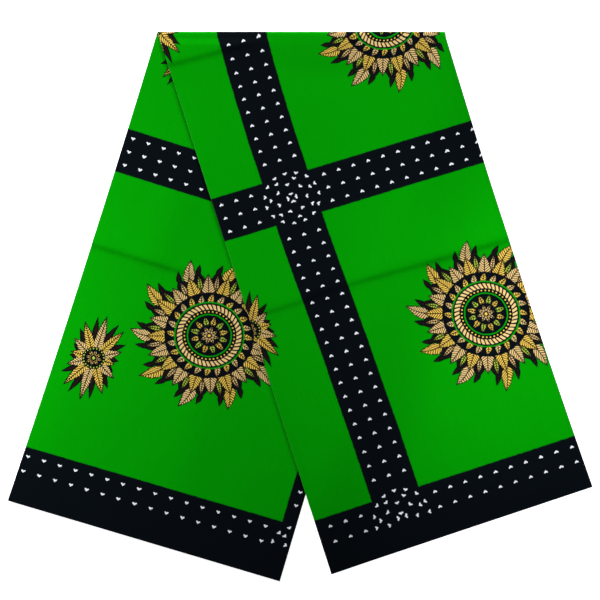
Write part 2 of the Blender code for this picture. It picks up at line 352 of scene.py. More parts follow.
class StageSizes(bpy.types.PropertyGroup):
    """Camera, floor and lights."""

    camera_height: length_property(
        "Camera Height", "Height of the camera above the floor", 2.6, 1.0)
    seen_width: length_property(
        "Seen Width", "Width that the camera sees at the cloth", 0.6629, 0.1)
    left: power_property("Left Light", "Power of the soft light at the left", 4.05)
    right: power_property("Right Light", "Power of the soft light at the right", 0.36)
    top: power_property("Top Light", "Power of the low soft light beyond the turn", 13.7)
    room: FloatProperty(
        name="Room", description="Strength of the even light from all round", default=0.03,
        min=0.0,
    )


def drop(side):
    """The way down a side, as a unit vector in plan."""
    lean = radians(side.lean)
    return Vector((sin(lean), -cos(lean)))


REACH_RIGHT = OVER_RIGHT.length * drop(OVER_RIGHT).x
REACH_LEFT = UNDER_LEFT.length * drop(UNDER_LEFT).x
REACH_DOWN = UNDER_RIGHT.length * drop(UNDER_RIGHT).y
LEFT_CORNER = Vector((-(TURN_LENGTH + REACH_RIGHT + REACH_LEFT) / 2, -REACH_DOWN / 2))
RIGHT_CORNER = LEFT_CORNER + Vector((TURN_LENGTH, 0.0))
TURN_Y = LEFT_CORNER.y - TURN_RADIUS - SEAM_GAP


def smooth(share):
    """0 to 1 with soft ends."""
    share = min(max(share, 0.0), 1.0)
    return share * share * (3 - 2 * share)


def side_point(corner, side, distance, inward):
    """The point of a side at a distance from its corner, drawn in by the side's bow."""
    share = distance / side.length
    across = Vector((-drop(side).y, drop(side).x)) * inward
    return corner + drop(side) * distance + across * (4 * side.bow * share * (1 - share))


def left_point(side, distance):
    return side_point(LEFT_CORNER, side, distance, 1)


def right_point(side, distance):
    return side_point(RIGHT_CORNER, side, distance, -1)


def to_turn(side):
    """How far down a side the leg begins, where the half round of the turn ends."""
    return (TURN_Y - LEFT_CORNER.y) / drop(side).y


SIDES = {"over": (OVER_LEFT, OVER_RIGHT), "under": (UNDER_LEFT, UNDER_RIGHT)}
TURN_ENDS = {leg: tuple(to_turn(side) for side in sides) for leg, sides in SIDES.items()}


def quarter_ends(leg):
    """The ends in plan of a leg's quarter crease."""
    left, right = SIDES[leg]
    down_left, down_right = QUARTER_CREASES[leg]
    return left_point(left, down_left), right_point(right, down_right)


# An old crease: its ends in plan, how far the cloth falls there, from the side that is nearer
# the turn to the other one, how far up the rise beside it fades, how long its foot is, the share
# of the fall at its left end, and how much lower that end lies, up to a jog.
Crease = namedtuple("Crease", "start end fall fade foot first jog")
CREASES = {"over": (
    Crease(*quarter_ends("over"), 2.9 * MM, 36 * MM, 8 * MM, 0.5, 4.6 * MM),
    Crease(left_point(OVER_LEFT, MIDDLE_CREASE[0]),
           LEFT_CORNER + Vector((MIDDLE_CREASE[1], 0.0)), 2.5 * MM, 40 * MM, 16 * MM, 1.0, 0.0),
), "under": (
    Crease(*quarter_ends("under"), 2.8 * MM, 30 * MM, 9 * MM, 1.0, 0.0),
)}


def swelling(point, swells, sizes):
    """How far the soft swells raise the cloth at a point in plan."""
    height = 0.0
    for swell in swells:
        turn = radians(swell.turn)
        aside = point - Vector((swell.x, swell.y)) * MM
        along = (aside.x * cos(turn) + aside.y * sin(turn)) / (swell.along * MM)
        across = (aside.y * cos(turn) - aside.x * sin(turn)) / (swell.across * MM)
        height += swell.height * MM * sizes.softness * exp(-along * along - across * across)
    return height * smooth((TURN_Y - point.y) / SWELL_FADE)


def creasing(point, creases, sizes, widening):
    """How far the creases raise or lower the cloth. Layers below follow them more widely."""
    height = 0.0
    width = sizes.crease_width * widening
    for crease in creases:
        way = crease.end - crease.start
        along = (point - crease.start).dot(way) / way.length
        share = along / way.length
        uneven = FALL_MEAN + LONG_WAVE[0] * sin(along / LONG_WAVE[1])
        uneven += SHORT_WAVE[0] * sin(along / SHORT_WAVE[1] + 1)
        uneven *= crease.first + (1 - crease.first) * smooth((share - WEAK_UNTIL) / WEAK_RUN)
        above = way.cross(point - crease.start) / way.length
        above += crease.jog * (1 - smooth((along - JOG_FROM) / JOG_RUN))
        foot = crease.foot * widening
        rise = 0.5 + SHARP_PART * tanh(above / width) + FOOT_PART * tanh(above / foot)
        height += crease.fall * uneven * rise * exp(-max(above, 0.0) / crease.fade)
    return height * smooth((TURN_Y - point.y) / CREASE_FADE)


def beside(side, corner, point):
    """How far a point in plan is to the right of a side's straight line."""
    down = drop(side)
    return (point - corner).dot(Vector((-down.y, down.x)))


def relief(leg, point, sizes, widening):
    """How far the cloth of a leg stands above its flat height at a point in plan."""
    creased = creasing(point, CREASES[leg], sizes, widening)
    if leg == "under":
        creased *= smooth(-beside(OVER_LEFT, LEFT_CORNER, point) / COVER_FADE)
    return swelling(point, SWELLS[leg], sizes) + creased


def over_rest(point, sizes):
    """The height of what the over leg rests on: the under leg, then a smooth fall, then 0."""
    past = beside(UNDER_RIGHT, RIGHT_CORNER, point) - STEP_LEDGE
    share = 1 - smooth(past / STEP_RUN)
    if share == 0.0:
        return 0.0
    return (STACK + SEAM_GAP + swelling(point, SWELLS["under"], sizes)) * share


# A row across the strip: its leg or the turn, its ends in plan, how far along the cloth they
# are, how far round the turn the row is, and whether it is at a selvedge.
Row = namedtuple("Row", "leg start end from_left from_right share selvedge")


def leg_row(leg, left, right):
    """A row across a leg, at a distance down its left side and one down its right side."""
    left_side, right_side = SIDES[leg]
    from_left = (left_side.length - left) * LEFT_SCALE
    from_right = (right_side.length - right) * RIGHT_SCALE
    if leg == "over":
        from_left = CLOTH_WIDTH - from_left
        from_right = CLOTH_WIDTH - from_right
    start = left_point(left_side, left)
    end = right_point(right_side, right)
    return Row(leg, start, end, from_left, from_right, 0.0, left >= left_side.length)


def rows_between(leg, near, far, step):
    """Rows from one line across a leg up to another, which is left out."""
    longest = max(far[0] - near[0], far[1] - near[1])
    count = max(1, ceil(longest / step))
    rows = []
    for i in range(count):
        left, right = (a + (b - a) * i / count for a, b in zip(near, far))
        rows.append(leg_row(leg, left, right))
    return rows


def leg_rows(leg, sizes):
    """Rows from the turn down to the selvedge, closer together along the creases."""
    first = TURN_ENDS[leg]
    last = tuple(side.length for side in SIDES[leg])
    above = tuple(distance - QUARTER_REACH for distance in QUARTER_CREASES[leg])
    below = tuple(distance + QUARTER_REACH for distance in QUARTER_CREASES[leg])
    rows = []
    if leg == "over":
        below_middle = (MIDDLE_CREASE[0] + MIDDLE_REACH,) * 2
        rows += rows_between(leg, first, below_middle, sizes.crease_step * MIDDLE_STEP)
        first = below_middle
    rows += rows_between(leg, first, above, sizes.row_step)
    rows += rows_between(leg, above, below, sizes.crease_step)
    rows += rows_between(leg, below, last, sizes.row_step)
    rows.append(leg_row(leg, *last))
    return rows


def turn_profile(share, level):
    """How far out and up a layer is on its way round the turn, as shares of its radius.

    The outer layers are pressed, with a flat top and a narrow bend.
    """
    angle = pi * share - pi / 2
    pressed = 1 - TURN_PRESSED * level / LAYERS
    up = abs(sin(angle)) ** pressed
    return max(cos(angle), 0.0) ** pressed, up if angle > 0 else -up


def turn_rows():
    """Rows round the turn, from the over leg to the under leg."""
    over = leg_row("over", *TURN_ENDS["over"])
    under = leg_row("under", *TURN_ENDS["under"])
    shares = [1 - i / TURN_ROWS for i in range(TURN_ROWS + 1)]
    profile = [turn_profile(share, LAYERS - 0.5) for share in shares]
    run = [0.0]
    for (out, up), (next_out, next_up) in zip(profile, profile[1:]):
        run.append(run[-1] + abs(next_out - out) + TURN_HEIGHT_COUNTS * abs(next_up - up))
    rows = []
    for share, passed in zip(shares, run):
        start = under.start.lerp(over.start, share)
        end = under.end.lerp(over.end, share)
        way = passed / run[-1]
        from_left = over.from_left + (under.from_left - over.from_left) * way
        from_right = over.from_right + (under.from_right - over.from_right) * way
        rows.append(Row("turn", start, end, from_left, from_right, share, False))
    return rows


def cloth_rows(sizes):
    """Rows of the whole strip, from the over leg's selvedge to the under leg's."""
    return [*reversed(leg_rows("over", sizes)), *turn_rows(), *leg_rows("under", sizes)]


def place(row, across, level, sizes, hidden):
    """A point of the cloth: how far it is from the left end of a row, and at which layer.

    The hidden layers lie a little closer together away from their folds, which leaves room for
    the creases of the panels that show.
    """
    way = row.end - row.start
    plan = row.start + way.normalized() * across
    if row.leg == "turn":
        radius = SEAM_GAP / 2 + level * PITCH
        out, up = turn_profile(row.share, level)
        return Vector((plan.x, TURN_Y + SEAM_GAP + radius * out, TURN_RADIUS + radius * up))
    if row.selvedge and hidden:
        short = SELVEDGES[int(level - 1) % len(SELVEDGES)] * MM
        plan -= drop(SIDES[row.leg][0]) * short
    stand = relief(row.leg, plan, sizes, HIDDEN_WIDENING if hidden else 1.0)
    if hidden:
        from_fold = min(across, way.length - across) / SINK_FROM_FOLD
        from_turn = (TURN_Y - plan.y) / SINK_FROM_TURN
        stand -= HIDDEN_SINK * smooth(from_fold) * smooth(from_turn)
    if row.leg == "over":
        return Vector((*plan, over_rest(plan, sizes) + level * PITCH * (1 + stand / STACK)))
    return Vector((*plan, (STACK - level * PITCH) * (1 + stand / STACK)))


# A lengthwise line of the cloth: its share of the way across a row, how far it is from there,
# its layer, and how far along the whole cloth it is.
Line = namedtuple("Line", "share aside level along")


def fold_lines(side, aside, level, along):
    """Lines round a fold from one layer to the next one in, at the right or the left side."""
    share = 1.0 if side > 0 else 0.0
    lines = []
    for i in range(FOLD_LINES):
        angle = pi / 2 - pi * i / (FOLD_LINES - 1)
        bulge = side * (PITCH / 2) * cos(angle)
        lines.append(Line(share, bulge - side * aside, level - 0.5 + 0.5 * sin(angle), along))
    return lines


def panel_lines(sizes, level, tuck_level, edge, way):
    """A panel that shows, from an edge of the cloth, its right fold and a tuck of the next one."""
    count = ceil(PANEL / sizes.column_step)
    lines = [Line(i / count, 0.0, level, edge + way * PANEL * i / count) for i in range(count)]
    fold = fold_lines(1, 0.0, max(level, tuck_level), edge + way * PANEL)
    lines += fold if level > tuck_level else reversed(fold)
    for tuck in (TUCK / 2, TUCK):
        lines.append(Line(1.0, -tuck, tuck_level, edge + way * (PANEL + tuck)))
    return lines


def layer_lines():
    """The sixteen hidden panels, to and fro from the top one's tuck to the inner one's."""
    inside = -TUCK - TUCK_GAP
    lines = [Line(1.0, inside, LAYERS - 1.5, PANEL - inside)]
    for panel in range(1, LAYERS - 1):
        level = LAYERS - 0.5 - panel
        leftward = panel % 2 == 1
        right_fold = RIGHT_FOLDS[min(max(panel // 2 - 1, 0), len(RIGHT_FOLDS) - 1)] * MM
        left_fold = LEFT_FOLDS[(panel - 1) // 2] * MM
        for share in (reversed(HIDDEN_SHARES) if leftward else HIDDEN_SHARES):
            aside = left_fold * (1 - share) - right_fold * share
            run = 1 - share if leftward else share
            if panel in (1, LAYERS - 2) and share > TUCK_FROM:
                continue
            lines.append(Line(share, aside, level, PANEL * (panel + run)))
        if panel == LAYERS - 2:
            lines.append(Line(1.0, inside, level, PANEL * (LAYERS - 1) + inside))
        elif leftward:
            lines += fold_lines(-1, left_fold, level, PANEL * (panel + 1))
        else:
            lines += fold_lines(1, right_fold, level, PANEL * (panel + 1))
    return lines


def along_grain(table, at):
    """The grain at a distance along a panel, with the distance along the cloth."""
    if at <= table[0].at:
        return table[0]._replace(cloth=table[0].cloth + at - table[0].at)
    if at >= table[-1].at:
        return table[-1]._replace(cloth=table[-1].cloth + at - table[-1].at)
    upper = bisect([row.at for row in table], at)
    low, high = table[upper - 1], table[upper]
    share = (at - low.at) / (high.at - low.at)
    return Grain(*(a + (b - a) * share for a, b in zip(low, high)))


def panel_print(table, band, from_edge, across, way):
    """Where the print is on a panel that shows. It lies a little off the panel's own grain."""
    aside = min(from_edge, PANEL) / MM
    at = across / MM
    slant = along_grain(table, at).slant
    grain = along_grain(table, at - slant * (aside - SLANT_FROM))
    from_band = (aside - grain.band) / grain.stretch + max(from_edge - PANEL, 0.0) / MM
    return (band + way * from_band) * MM, grain.cloth * MM


def over_print(along, across):
    return panel_print(OVER_GRAIN, FIRST_BAND, along, across, 1)


def under_print(along, across):
    band = FIRST_BAND + BANDS_TO_THE_UNDER_LEG * PERIOD
    return panel_print(UNDER_GRAIN, band, CLOTH_LENGTH - along, across, -1)


def plain_print(along, across):
    return along, across


def sheet(name, lines, printed, sizes, hidden=False):
    """A sheet of cloth on a grid of rows and lines, with the print's own map on it."""
    bm = bmesh.new()
    uv = bm.loops.layers.uv.new("cloth")
    folds = bm.loops.layers.uv.new("folds")
    verts = []
    maps = {}
    for row in cloth_rows(sizes):
        width = (row.end - row.start).length
        strip = []
        for line in lines:
            across = line.share * width + line.aside
            vert = bm.verts.new(place(row, across, line.level, sizes, hidden))
            share = min(max(across / width, 0.0), 1.0)
            from_selvedge = row.from_left + (row.from_right - row.from_left) * share
            maps[vert] = printed(line.along, from_selvedge), (line.along, from_selvedge)
            strip.append(vert)
        verts.append(strip)
    for near, far in zip(verts, verts[1:]):
        for i in range(len(near) - 1):
            face = bm.faces.new((near[i], near[i + 1], far[i + 1], far[i]))
            for loop in face.loops:
                loop[uv].uv, loop[folds].uv = maps[loop.vert]
    mesh = bpy.data.meshes.new(name)
    bm.to_mesh(mesh)
    bm.free()
    piece = bpy.data.objects.new(name, mesh)
    bpy.context.scene.collection.objects.link(piece)
    wall = piece.modifiers.new("Wall", "SOLIDIFY")
    wall.thickness = sizes.thickness
    wall.offset = 0.0
    only(piece)
    bpy.ops.object.modifier_apply(modifier=wall.name)
    bpy.ops.object.shade_smooth_by_angle(angle=radians(50))
    return piece


def only(piece):
    """Selects one object and makes it active."""
    bpy.ops.object.select_all(action="DESELECT")
    piece.select_set(True)
    bpy.context.view_layer.objects.active = piece


NODES_IN_COLUMN = 9
NODE_SPACING = (190, 170)


def adds(operation):
    """A method that adds one Math node."""
    def method(self, *others):
        return self.math(operation, *others)
    return method


class Amount:
    """A number that changes over the cloth. Its arithmetic adds Math nodes to a node tree."""

    def __init__(self, tree, source):
        self.tree = tree
        self.source = source

    def math(self, operation, *others, clamp=False):
        node = add_node(self.tree, "ShaderNodeMath")
        node.operation = operation
        node.use_clamp = clamp
        for socket, value in zip(node.inputs, (self, *others)):
            feed(self.tree, socket, value)
        return Amount(self.tree, node.outputs[0])

    __add__ = adds("ADD")
    __sub__ = adds("SUBTRACT")
    __mul__ = adds("MULTIPLY")
    __truediv__ = adds("DIVIDE")
    __abs__ = adds("ABSOLUTE")
    past = adds("GREATER_THAN")  # 1 where this is above an edge, else 0
    least = adds("MINIMUM")
    most = adds("MAXIMUM")
    nearest = adds("ROUND")
    fraction = adds("FRACT")
    root = adds("SQRT")
    sign = adds("SIGN")
    sine = adds("SINE")
    cosine = adds("COSINE")

    def __rsub__(self, other):
        return self.math("MULTIPLY_ADD", -1.0, other)

    def above(self, edge, softness=0.4):
        """1 where this is above an edge and 0 where it is below, soft in between."""
        return self.math("MULTIPLY_ADD", 1 / softness, 0.5 - edge / softness, clamp=True)

    def below(self, edge, softness=0.4):
        return 1 - self.above(edge, softness)

    def from_nearest(self, pitch):
        """How far this is from the nearest multiple of a pitch."""
        return self - (self / pitch).nearest() * pitch

    def squared(self):
        return self * self


def add_node(tree, kind):
    """A node, set out in columns so that the tree can be read."""
    node = tree.nodes.new(kind)
    column, place = divmod(len(tree.nodes), NODES_IN_COLUMN)
    node.location = (column * NODE_SPACING[0], -place * NODE_SPACING[1])
    return node


def feed(tree, socket, value):
    """Joins a socket to another one, or sets it to a plain value."""
    if isinstance(value, Amount):
        value = value.source
    if isinstance(value, bpy.types.NodeSocket):
        tree.links.new(value, socket)
    else:
        socket.default_value = value


def set_values(node, values):
    """Sets a node's inputs to plain values."""
    for label, value in values.items():
        node.inputs[label].default_value = value


def new_material(name):
    """A material and its shader."""
    made = bpy.data.materials.new(name)
    made.use_nodes = True
    return made, made.node_tree.nodes["Principled BSDF"]


def new_group(name, inputs, outputs):
    """A node group with named inputs and outputs. A colour is a tuple, or is called Colour."""
    tree = bpy.data.node_groups.new(name, "ShaderNodeTree")
    for label, value in inputs.items():
        kind = "NodeSocketColor" if isinstance(value, tuple) else "NodeSocketFloat"
        socket = tree.interface.new_socket(label, in_out="INPUT", socket_type=kind)
        socket.default_value = value
    for label in outputs:
        kind = "NodeSocketColor" if label == "Colour" else "NodeSocketFloat"
        tree.interface.new_socket(label, in_out="OUTPUT", socket_type=kind)
    source = tree.nodes.new("NodeGroupInput")
    sink = tree.nodes.new("NodeGroupOutput")
    given = {label: Amount(tree, source.outputs[label]) for label in inputs}
    return tree, given, sink


def use_group(tree, group, values):
    """Places a group in a tree, and returns its outputs by name."""
    node = add_node(tree, "ShaderNodeGroup")
    node.node_tree = group
    for label, value in values.items():
        feed(tree, node.inputs[label], value)
    return {socket.name: Amount(tree, socket) for socket in node.outputs}


def paint(tree, under, over, share):
    """A colour laid over another one where share is 1."""
    node = add_node(tree, "ShaderNodeMix")
    node.data_type = "RGBA"
    feed(tree, node.inputs["Factor"], share)
    feed(tree, node.inputs["A"], under)
    feed(tree, node.inputs["B"], over)
    return Amount(tree, node.outputs["Result"])


def cloth_noise(tree, along, across, scale, detail):
    """Noise on the cloth's own lengths."""
    place = add_node(tree, "ShaderNodeCombineXYZ")
    feed(tree, place.inputs["X"], along)
    feed(tree, place.inputs["Y"], across)
    noise = add_node(tree, "ShaderNodeTexNoise")
    set_values(noise, {"Scale": scale, "Detail": detail})
    feed(tree, noise.inputs["Vector"], place.outputs[0])
    return noise


def polar(along, across):
    """The distance from a point, and the turn round it from the selvedge side, from -0.5 to 0.5."""
    radius = (along.squared() + across.squared()).root()
    turn = along.math("ARCTAN2", across * -1.0) / (2 * pi)
    return radius, turn


def heart_group():
    """A heart with its tip towards the first selvedge."""
    tree, given, sink = new_group("Heart", PLACE_SOCKETS, ("Mask",))
    x = abs(given["Along"] / HEART_HALF_WIDTH)
    y = given["Across"] / HEART_HALF_HEIGHT + 0.5 - x.root() * HEART_LOBES
    inside = 1 - (x.squared() + y.squared())
    feed(tree, sink.inputs["Mask"], inside.above(0.0, softness=0.35))
    return tree


def hearts_group(heart):
    """White hearts in rows of three along the bands, in two rows along the borders, and in
    rings where the bands cross.
    """
    tree, given, sink = new_group("Band Hearts", PLACE_SOCKETS, ("Mask",))
    aside = (given["Along"] - FIRST_BAND).from_nearest(PERIOD)
    across = given["Across"] - MIDDLE
    out = abs(across)
    way = across.sign()
    near = 1 - abs(aside).past(CROSSING_ALONG)
    at_crossing = near * (1 - abs(out - CROSS_BAND).past(CROSSING_ACROSS))
    at_border = near * out.past(BORDER_CROSSING)
    in_ring = at_crossing + at_border

    # Rows of three along a band. The rows start afresh past the crossing.
    column = aside.from_nearest(ALONG_COLUMNS)
    row = (out - FIRST_ROW - out.past(CROSS_BAND) * PAST_CROSSING).from_nearest(ALONG_ROWS)
    along_band = near - in_ring
    shown_along = along_band * (1 - abs(aside).past(HALF_LENGTHWISE))

    # Rows across, in the cross bands and the borders.
    spread = abs(aside) - FIRST_COLUMN + aside.past(0.0) * RIGHT_COLUMN_NEARER
    across_column = spread - (spread / ACROSS_COLUMNS).nearest().most(0.0) * ACROSS_COLUMNS
    cross_row = (out - CROSS_BAND).from_nearest(CROSS_ROWS)
    border = out - FIRST_BORDER_ROW
    border_row = border - (border / BORDER_ROWS).nearest().most(0.0).least(1.0) * BORDER_ROWS
    in_border = out.past(BORDER)
    across_row = cross_row + (border_row - cross_row) * in_border
    away = 1 - near
    in_cross = 1 - abs(out - CROSS_BAND).past(HALF_CROSS)
    shown_across = away * (in_cross + in_border * (1 - out.past(BORDER_ROWS_END)))

    # Rings of hearts with their tips to the middle. In the borders the ones nearest the selvedge
    # are left out, and the far border's rings lie a little off the band.
    far = at_border * way.most(0.0)
    middle = at_border * (BORDER_RINGS - CROSS_BAND) + CROSS_BAND - far * FAR_RINGS_NEARER
    outward = (out - middle) * (far * -FAR_RINGS_STRETCH + RINGS_STRETCH_ACROSS)
    sideways = (aside + far * FAR_RINGS_ASIDE - RINGS_ASIDE) / RINGS_STRETCH_ALONG
    radius, turn = polar(sideways, way * outward)
    ring, count, offset = HEART_RINGS[0].radius, HEART_RINGS[0].count, 0.0
    for inner, outer in zip(HEART_RINGS, HEART_RINGS[1:]):
        passed = radius.past(outer.begins)
        ring = passed * (outer.radius - inner.radius) + ring
        count = passed * (outer.count - inner.count) + count
        offset = passed * ((outer.turn - inner.turn) / 360) + offset
    step = (turn - offset) * count
    number = step.nearest()
    ring_column = (step - number) / count * ring * (2 * pi)
    heart_out = way * ring * ((number / count + offset) * (2 * pi)).cosine() * -1.0
    shown_ring = in_ring * (1 - at_border * heart_out.past(LAST_BORDER_HEART))

    local_column = column * along_band + across_column * away + ring_column * in_ring
    local_row = way * (row * along_band + across_row * away) + (radius - ring) * in_ring
    mask = use_group(tree, heart, {"Along": local_column, "Across": local_row})["Mask"]
    feed(tree, sink.inputs["Mask"], mask * (shown_along + shown_across + shown_ring))
    return tree


def bands_group():
    """The dark bands and borders."""
    tree, given, sink = new_group("Bands", PLACE_SOCKETS, ("Mask",))
    aside = abs((given["Along"] - FIRST_BAND).from_nearest(PERIOD))
    out = abs(given["Across"] - MIDDLE)
    lengthwise = aside.below(HALF_LENGTHWISE, BAND_SOFTNESS)
    cross = abs(out - CROSS_BAND).below(HALF_CROSS, BAND_SOFTNESS)
    border = out.above(BORDER, BAND_SOFTNESS)
    feed(tree, sink.inputs["Mask"], lengthwise.most(cross).most(border))
    return tree


def petals_group():
    """A ring of petals or leaves about a point, with outlines, midribs and side veins."""
    tree, given, sink = new_group(
        "Petal Ring",
        {"Radius": 0.0, "Turn": 0.0, "Count": 8.0, "Offset": 0.0, "Middle": 10.0,
         "Half Length": 8.0, "Half Width": 4.0, "Bend": 0.0, "Teeth": 0.0, "Long": 0.0},
        ("Shape", "Fill", "Veins", "Odd"))
    step = (given["Turn"] - given["Offset"]) * given["Count"]
    number = step.nearest()
    angle = (step - number) / given["Count"] * (2 * pi)
    uneven = (number * UNEVEN_STEP).sine() * given["Half Length"] * UNEVEN_LENGTH
    lengthwise = (number / given["Count"] + given["Offset"]) * (2 * pi)
    longer = lengthwise.cosine().squared() * given["Long"]
    outward = given["Radius"] * angle.cosine() - given["Middle"] - longer - uneven
    share = outward / (given["Half Length"] + longer + uneven)
    past_base = (share + 1.0).most(0.0)
    bend = given["Bend"] * past_base.squared() * BEND_SHARE
    sideways = abs(given["Radius"] * angle.sine() - bend)
    teeth = (outward / TOOTH).fraction() - 0.5
    profile = (1 - share).most(0.0) * past_base.root() / PROFILE_TOP
    width = given["Half Width"] * profile + given["Teeth"] * teeth * profile
    inside = width - sideways
    shown = (1 - abs(share).past(1.0)) * (1 - abs(angle).past(pi / 2))
    fill = inside.above(OUTLINE) * shown
    slanted = (outward - sideways * VEIN_SLOPE) / VEIN_GAP
    side_veins = slanted.fraction().below(VEIN_SHARE, softness=0.15)
    feed(tree, sink.inputs["Shape"], inside.above(0.0) * shown)
    feed(tree, sink.inputs["Fill"], fill)
    feed(tree, sink.inputs["Veins"], sideways.below(MIDRIB).most(side_veins) * fill)
    feed(tree, sink.inputs["Odd"], (number * 0.5).fraction() * 2.0)
    return tree


def dyes(colours, names):
    """Dyes as the inputs of a group, by their names."""
    return {name.title(): (*getattr(colours, name), 1.0) for name in names}


def medallion_group(petals, colours):
    """A round medallion of leaves, petals, a rope and dots, and a smaller oval flower."""
    inputs = {**PLACE_SOCKETS, "Under": (0.0, 0.0, 0.0, 1.0), **dyes(colours, INKS)}
    tree, given, sink = new_group("Medallions", inputs, ("Colour",))
    colour = given["Under"]

    def ring(place, sizes, first, second=None, long=0.0):
        """Lays a ring of petals in one ink or in two by turns."""
        nonlocal colour
        labels = ("Count", "Offset", "Middle", "Half Length", "Half Width", "Bend", "Teeth")
        values = {"Radius": place[0], "Turn": place[1], **dict(zip(labels, sizes)), "Long": long}
        made = use_group(tree, petals, values)
        ink = given[first]
        if second:
            ink = paint(tree, ink, given[second], made["Odd"])
        colour = paint(tree, colour, given["Band"], made["Shape"])
        colour = paint(tree, colour, ink, made["Fill"])
        colour = paint(tree, colour, given["Brown"], made["Veins"])

    def discs(place, *edges):
        """Lays round discs, each smaller than the one before and in its own ink."""
        nonlocal colour
        for edge, ink in edges:
            colour = paint(tree, colour, given[ink], place[0].below(edge))

    def dots(place, count, middle, reach, ink):
        """Lays a ring of round dots."""
        nonlocal colour
        step = place[1] * count
        sideways = (step - step.nearest()) * (2 * pi * middle / count)
        away = (sideways.squared() + (place[0] - middle).squared()).root()
        colour = paint(tree, colour, given[ink], away.below(reach))

    def about(middle):
        """The distance from the nearest of the motifs with this middle, and the turn round it."""
        along = (given["Along"] - FIRST_BAND - middle[0]).from_nearest(PERIOD)
        across = (given["Across"] - middle[1]).from_nearest(MOTIF_PITCH)
        return polar(along, across)

    here = about(MEDALLION)
    ring(here, (20, 0.025, 73.0, 6.5, 3.4, 4.0, 0.0), "Band")
    ring(here, (10, 0.0, 74.0, 12.5, 7.2, 9.0, 1.4), "Sand", "Gold")
    ring(here, (20, 0.025, 60.0, 13.0, 8.0, 0.0, 0.0), "Band")
    ring(here, (20, 0.025, 60.0, 9.0, 3.3, 0.0, 0.0), "Lime", "Sand")
    ring(here, (20, 0.0, 54.0, 14.0, 7.4, 0.0, 1.6), "Gold", "Sand")
    discs(here, (48.0, "Band"))
    ring(here, (24, 0.0, 41.5, 5.6, 4.2, 3.0, 0.0), "Sand", "Gold")
    discs(here, (37.6, "Ground"), (36.2, "Band"))
    twist = (here[1] * ROPE_STRANDS + here[0] * ROPE_SLOPE).fraction()
    strands = twist.above(ROPE_GAP, softness=0.12)
    strands *= abs(here[0] - ROPE_RADIUS).below(ROPE_HALF_WIDTH)
    colour = paint(tree, colour, given["Sand"], strands)
    dots(here, 40, 26.6, 0.85, "Gold")
    discs(here, (24.2, "Ground"), (22.8, "Band"))
    ring(here, (12, 0.0, 16.4, 5.6, 3.7, 0.0, 0.8), "Gold", "Lime")
    discs(here, (12.0, "Band"))
    ring(here, (8, 0.0, 6.8, 4.6, 2.9, 0.0, 0.0), "Sand")
    discs(here, (2.7, "Band"), (1.6, "Gold"))

    there = about(FLOWER)
    ring(there, (12, 0.0417, 19.0, 6.0, 3.8, 3.0, 0.0), "Band", long=12.0)
    ring(there, (12, 0.0, 15.5, 9.0, 5.6, 0.0, 1.4), "Sand", "Gold", long=12.5)
    discs(there, (12.4, "Band"))
    dots(there, 20, 10.8, 0.7, "Lime")
    ring(there, (8, 0.0, 6.2, 3.6, 2.6, 0.0, 0.0), "Sand", "Gold")
    discs(there, (2.7, "Band"), (1.6, "Lime"))
    feed(tree, sink.inputs["Colour"], colour)
    return tree


def wobble_group():
    """Moves the print about a little, as its blocks and stencils do."""
    tree, given, sink = new_group(
        "Hand Printing", {**PLACE_SOCKETS, "Reach": 0.5}, ("Along", "Across"))
    noise = cloth_noise(tree, given["Along"], given["Across"], scale=0.22, detail=1.0)
    parts = add_node(tree, "ShaderNodeSeparateColor")
    feed(tree, parts.inputs[0], noise.outputs["Color"])
    for label, socket in (("Along", "Red"), ("Across", "Green")):
        shift = (Amount(tree, parts.outputs[socket]) - 0.5) * given["Reach"]
        feed(tree, sink.inputs[label], given[label] + shift * 2.0)
    return tree


def weave_group():
    """Plain weave: a height for the threads, and a shade that varies from thread to thread."""
    tree, given, sink = new_group(
        "Plain Weave", {**PLACE_SOCKETS, "Thread": 0.36}, ("Height", "Shade"))
    warp = (given["Along"] / given["Thread"] * pi).sine()
    weft = (given["Across"] / given["Thread"] * pi).sine()
    at_selvedge = abs(given["Across"] - MIDDLE).above(MIDDLE - SELVEDGE_WIDTH, softness=0.3)
    ribs = (given["Across"] * (2 * pi / RIB_PITCH)).sine() * at_selvedge * RIB_HEIGHT
    feed(tree, sink.inputs["Height"], warp * weft * 0.5 + 0.5 + ribs)
    long_slubs = (given["Along"] * 0.9, given["Across"] * 0.06)
    slub = cloth_noise(tree, *long_slubs, scale=0.5, detail=3.0)
    feed(tree, sink.inputs["Shade"], slub.outputs[0])
    return tree


def wax_print(colours):
    """The whole print as one group: a place on the cloth in, a colour out."""
    hearts = hearts_group(heart_group())
    bands = bands_group()
    medallion = medallion_group(petals_group(), colours)
    inputs = {**PLACE_SOCKETS, **dyes(colours, (*INKS, "heart"))}
    tree, given, sink = new_group("Wax Print", inputs, ("Colour",))
    place = use_group(tree, wobble_group(), {label: given[label] for label in PLACE_SOCKETS})
    inks = {name.title(): given[name.title()] for name in INKS}
    colour = use_group(tree, medallion, {**place, **inks, "Under": given["Ground"]})["Colour"]
    colour = paint(tree, colour, given["Band"], use_group(tree, bands, place)["Mask"])
    colour = paint(tree, colour, given["Heart"], use_group(tree, hearts, place)["Mask"])
    feed(tree, sink.inputs["Colour"], colour)
    return tree


